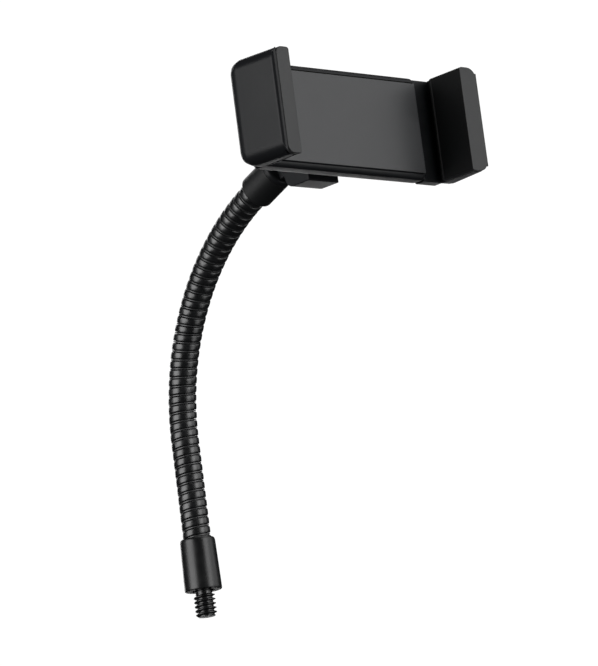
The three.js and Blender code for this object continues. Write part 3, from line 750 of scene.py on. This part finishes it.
def block(name, x0, x1, y0, y1, z0, z1):
    """A block between two corners, ready to be shaped."""
    nothing_selected()
    bpy.ops.mesh.primitive_cube_add(size=1, location=Vector((x0 + x1, y0 + y1, z0 + z1)) * MM / 2)
    piece = bpy.context.object
    piece.name = name
    piece.scale = Vector((x1 - x0, y1 - y0, z1 - z0)) * MM
    bpy.ops.object.transform_apply(location=True, rotation=True, scale=True)
    return piece


def jaw_shell(name, tip_x, back_x, pad_x, direction, lip_width):
    """A jaw's hard shell: a block whose outer face leans, with big radii at its back corners."""
    seat = pad_x + direction * (pad_thick + 0.3)
    low, high = sorted((seat, back_x))
    piece = block(name, low, high, -jaw_reach, body_depth, -jaw_half, jaw_half)
    radii = piece.data.attributes.new("bevel_weight_edge", "FLOAT", "EDGE")
    for corner in piece.data.vertices:
        outer = abs(corner.co.x / MM - back_x) < 0.01
        if outer and corner.co.y < 0:
            corner.co.x = tip_x * MM
    for edge in piece.data.edges:
        a, b = (piece.data.vertices[n].co / MM for n in edge.vertices)
        back = a.y > 0 and b.y > 0
        outer = abs(a.x - seat) > 0.1 and abs(b.x - seat) > 0.1
        if back and (outer or abs(a.z - b.z) < 0.1):
            radii.data[edge.index].value = 1.0
        elif outer and abs(a.z - b.z) < 0.1:
            radii.data[edge.index].value = 0.8
        elif outer:
            radii.data[edge.index].value = 0.22
        elif abs(a.x - b.x) > 0.1:
            radii.data[edge.index].value = 0.12
    radius = piece.modifiers.new("radius", "BEVEL")
    radius.width = back_corner * MM
    radius.segments = 8
    radius.limit_method = "WEIGHT"
    bpy.ops.object.modifier_apply(modifier="radius")
    lip = tip_x - direction * lip_width
    low, high = sorted((seat - direction * 2, lip))
    notch = block("tool", low, high, -jaw_reach - 2, -jaw_reach + pad_thick + 0.3,
                  -jaw_half - 1, jaw_half + 1)
    return combined(piece, notch, "DIFFERENCE")


def behind(x, z, rings, sides):
    """A turned tool standing on the clamp's back at (x, z)."""
    tool = turned("tool", rings, sides=sides)
    tool.data.transform(Matrix.Translation(Vector((x, 0, z)) * MM) @ back_about_y)
    return tool


post_x, spring_z, rib_inner, rib_outer = -28, 5, 8.9, 9.6
tub = block("clamp_body_moulding", -32.2, body_end, 0.3, body_depth, -body_half, body_half)
tub = rounded_edges(tub, 1.3, segments=5)
hollow = block("tool", -30.5, 40, -1, 4.4, -plate_half - 0.3, plate_half + 0.3)
tub = combined(tub, hollow, "DIFFERENCE")
tub = combined(tub, jaw_shell("tool", -36.7, -38.6, -30.2, -1, 1.3), "UNION")
for direction in (-1, 1):
    low, high = sorted((direction * rib_inner, direction * rib_outer))
    tub = combined(tub, block("tool", -8, body_end - 0.3, 1.5, 4.9, low, high), "UNION")
    post = behind(post_x, direction * spring_z, [(0.8, 1.5), (0.8, 4.9)], sides=24)
    tub = combined(tub, post, "UNION")
    for x in (-screw_x, screw_x):
        seat_rings = [(1.2, 3.4), (1.2, 4.9), (2.0, 4.9), (2.0, 9)]
        hole = behind(x, direction * screw_z, seat_rings, sides=32)
        tub = combined(tub, hole, "DIFFERENCE")
for x, z in ring_screws_at:
    hole = behind(x, z, [(1.0, 3.4), (1.0, 9)], sides=28)
    tub = combined(tub, hole, "DIFFERENCE")
tub.data.transform(on_clamp)
finished(tub)
tub.data.materials.clear()
tub.data.materials.append(moulded)
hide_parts("clamp_body")
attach(tub, "clamp")

# ---------------------------------------------------------------------------
# Face plate: a flat satin panel let into the tub with an even gap round it,
# on four bosses. The phone's back rests on it.
# ---------------------------------------------------------------------------
plate = block("satin_face_plate", -30.2, 30.5, 0, 1.2, -plate_half, plate_half)
plate = rounded_edges(plate, 0.22, segments=3)
for x, z in case_screws_at:
    plate = combined(plate, behind(x, z, [(1.7, 0.8), (1.7, 4.1)], sides=32), "UNION")
    plate = combined(plate, behind(x, z, [(1.2, 1.0), (1.2, 5)], sides=32), "DIFFERENCE")
plate.data.transform(on_clamp)
finished(plate)

panel, tree, place = blank_material("black_abs_satin_panel")
# a satin moulding: a faint grain of 0.3 mm and slow waves of 12 mm in the gloss
film = add(tree, "ShaderNodeTexNoise", {"Scale": 3300.0, "Detail": 2.0}, {"Vector": place})
waves = add(tree, "ShaderNodeTexNoise", {"Scale": 80.0, "Detail": 2.0}, {"Vector": place})
shade = add(tree, "ShaderNodeValToRGB", {}, {"Fac": waves.outputs["Fac"]})
shade.color_ramp.elements[0].position, shade.color_ramp.elements[1].position = 0.3, 0.7
two_tones(shade, "#2b2c2e", "#303133")
gloss = add(tree, "ShaderNodeMapRange",
            {"From Min": 0.3, "From Max": 0.7, "To Min": 0.36, "To Max": 0.43},
            {"Value": waves.outputs["Fac"]})
texture = add(tree, "ShaderNodeBump", {"Strength": 0.12, "Distance": 0.00003},
              {"Height": film.outputs["Fac"]})
shader = add(tree, "ShaderNodeBsdfPrincipled", {"IOR": 1.54},
             {"Base Color": shade.outputs["Color"], "Roughness": gloss.outputs["Result"],
              "Normal": texture.outputs["Normal"]})
add(tree, "ShaderNodeOutputMaterial", {}, {"Surface": shader.outputs[0]})

plate.data.materials.append(panel)
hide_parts("face_plate")
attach(plate, "clamp")

# ---------------------------------------------------------------------------
# Sliding jaw: the second jaw's shell with a flat tray that runs in the tub
# between two ribs. The springs hook into its inner end.
# ---------------------------------------------------------------------------
jaw = jaw_shell("sliding_jaw_moulding", 43.5, 45.7, 36.5, 1, 0.5)
base = rounded_edges(block("tool", 31.1, 39.2, 1.9, body_depth, -body_half, body_half), 0.5)
jaw = combined(jaw, base, "UNION")
tray = rounded_edges(block("tool", -8, 32.8, 1.9, 3.9, -8.6, 8.6), 0.3)
jaw = combined(jaw, tray, "UNION")
hook_x = -6
for direction in (-1, 1):
    hole = behind(hook_x, direction * spring_z, [(1.0, 0), (1.0, 10)], sides=28)
    jaw = combined(jaw, hole, "DIFFERENCE")
jaw.data.transform(on_clamp)
finished(jaw)
jaw.data.materials.clear()
jaw.data.materials.append(moulded)
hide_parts("sliding_jaw")
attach(jaw, "sliding_jaw")

# ---------------------------------------------------------------------------
# Jaw pads: soft moulded liners, one in each jaw. Each covers the inner face
# and folds over the tip, where a fine seam parts it from the shell's lip.
# ---------------------------------------------------------------------------
pad_rubber, tree, place = blank_material("matt_black_moulded_rubber")
# a fine matt skin of 0.2 mm with paler handling marks about 8 mm across
skin = add(tree, "ShaderNodeTexNoise", {"Scale": 5000.0, "Detail": 2.0}, {"Vector": place})
handled = add(tree, "ShaderNodeTexNoise", {"Scale": 130.0, "Detail": 4.0, "Roughness": 0.65},
              {"Vector": place})
shade = add(tree, "ShaderNodeValToRGB", {}, {"Fac": handled.outputs["Fac"]})
shade.color_ramp.elements[0].position, shade.color_ramp.elements[1].position = 0.35, 0.7
two_tones(shade, "#1f2021", "#262728")
gloss = add(tree, "ShaderNodeMapRange",
            {"From Min": 0.35, "From Max": 0.7, "To Min": 0.46, "To Max": 0.56},
            {"Value": handled.outputs["Fac"]})
texture = add(tree, "ShaderNodeBump", {"Strength": 0.25, "Distance": 0.00003},
              {"Height": skin.outputs["Fac"]})
shader = add(tree, "ShaderNodeBsdfPrincipled", {"IOR": 1.5},
             {"Base Color": shade.outputs["Color"], "Roughness": gloss.outputs["Result"],
              "Normal": texture.outputs["Normal"]})
add(tree, "ShaderNodeOutputMaterial", {}, {"Surface": shader.outputs[0]})

# a copy of the rubber, rougher and with painted shade making it blacker than the folded tip, for
# the gripping faces that turn towards the other jaw
pad_rubber_painted_shade_copy = pad_rubber.copy()
pad_rubber_painted_shade_copy.name = "black_rubber_painted_shade_copy"
for made in pad_rubber_painted_shade_copy.node_tree.nodes:
    if made.type == "VALTORGB":
        two_tones(made, "#08090a", "#0e0f10")
    if made.type == "MAP_RANGE":
        made.inputs["To Min"].default_value, made.inputs["To Max"].default_value = 0.62, 0.74
    if made.type == "BSDF_PRINCIPLED":
        made.inputs["Specular IOR Level"].default_value = 0.2

pads = (("fixed_jaw_pad", -35.28, -30.2, -1, 2.4, 0.05, "clamp"),
        ("sliding_jaw_pad", 42.94, 36.5, 1, 3.4, 0.35, "sliding_jaw"))
for name, lip, pad_x, direction, corner_radius, bead_height, body in pads:
    back = pad_x + direction * pad_thick
    foot, bead = -0.3, pad_x - direction * bead_height
    pad_outline = [(bead, foot), (back, foot), (back, -jaw_reach + pad_thick),
                   (lip, -jaw_reach + pad_thick), (lip, -jaw_reach), (pad_x, -jaw_reach),
                   (pad_x, foot - 0.8), (bead, foot - 0.5)]
    pad = extruded(f"{name}_liner", pad_outline, lambda a, b: (a, b, -jaw_half),
                   (0, 0, 2 * jaw_half))
    # the tip's outer corners are rounded off with the shell's
    low, high = sorted((bead, lip))
    limit = block("tool", low, high, -jaw_reach - 2, 3, -jaw_half, jaw_half)
    radii = limit.data.attributes.new("bevel_weight_edge", "FLOAT", "EDGE")
    for edge in limit.data.edges:
        a, b = (limit.data.vertices[n].co / MM for n in edge.vertices)
        if abs(a.y - b.y) > 1:
            radii.data[edge.index].value = 1.0 if abs(a.x - lip) < 0.1 else 0.4
    radius = limit.modifiers.new("radius", "BEVEL")
    radius.width = corner_radius * MM
    radius.segments = 8
    radius.limit_method = "WEIGHT"
    nothing_selected()
    bpy.context.view_layer.objects.active = limit
    bpy.ops.object.modifier_apply(modifier="radius")
    pad = rounded_edges(combined(pad, limit, "INTERSECT"), 0.8, segments=5)
    pad.data.transform(on_clamp)
    finished(pad)
    pad.data.materials.clear()
    pad.data.materials.append(pad_rubber)
    pad.data.materials.append(pad_rubber_painted_shade_copy)
    # faces turned towards the other jaw take the copy with painted shade, the rest keep the plain
    # rubber
    for face in pad.data.polygons:
        face.material_index = 1 if face.normal.x * direction < -0.8 else 0
    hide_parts(name)
    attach(pad, body)

# ---------------------------------------------------------------------------
# Return springs: two zinc-plated extension springs inside the tub, from the
# posts at the fixed jaw to the sliding tray.
# ---------------------------------------------------------------------------
spring_start, spring_end, spring_y, spring_half_turns = -26.4, -8.4, 2.8, 26
spring_wire, spring_radius = 0.22, 0.93
for name, direction in (("return_spring_upper", 1), ("return_spring_lower", -1)):
    nothing_selected()
    bpy.ops.mesh.primitive_circle_add(vertices=10, radius=spring_wire * MM, fill_type="NOTHING",
                                      rotation=(math.pi / 2, 0, 0),
                                      location=(spring_radius * MM, 0, 0.25 * MM))
    coil = bpy.context.object
    coil.name = f"{name}_coil"
    bpy.ops.object.transform_apply(location=True, rotation=True, scale=True)
    winding = coil.modifiers.new("winding", "SCREW")
    winding.axis = "Z"
    winding.angle = math.pi
    winding.iterations = spring_half_turns
    winding.screw_offset = (spring_end - spring_start - 0.5) / spring_half_turns * MM
    winding.steps = winding.render_steps = 12
    winding.use_merge_vertices = True
    winding.merge_threshold = 1e-6
    bpy.ops.object.modifier_apply(modifier="winding")
    bpy.ops.object.mode_set(mode="EDIT")
    bpy.ops.mesh.select_all(action="SELECT")
    bpy.ops.mesh.fill_holes(sides=0)
    bpy.ops.object.mode_set(mode="OBJECT")
    hooked_at = Vector((spring_start, spring_y, direction * spring_z)) * MM
    coil.data.transform(on_clamp @ Matrix.Translation(hooked_at) @
                        Matrix.Rotation(math.pi / 2, 4, "Y"))
    finished(coil, 50, true_flats=False)
    coil.data.materials.append(zinc)
    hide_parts(name)
    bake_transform(coil)
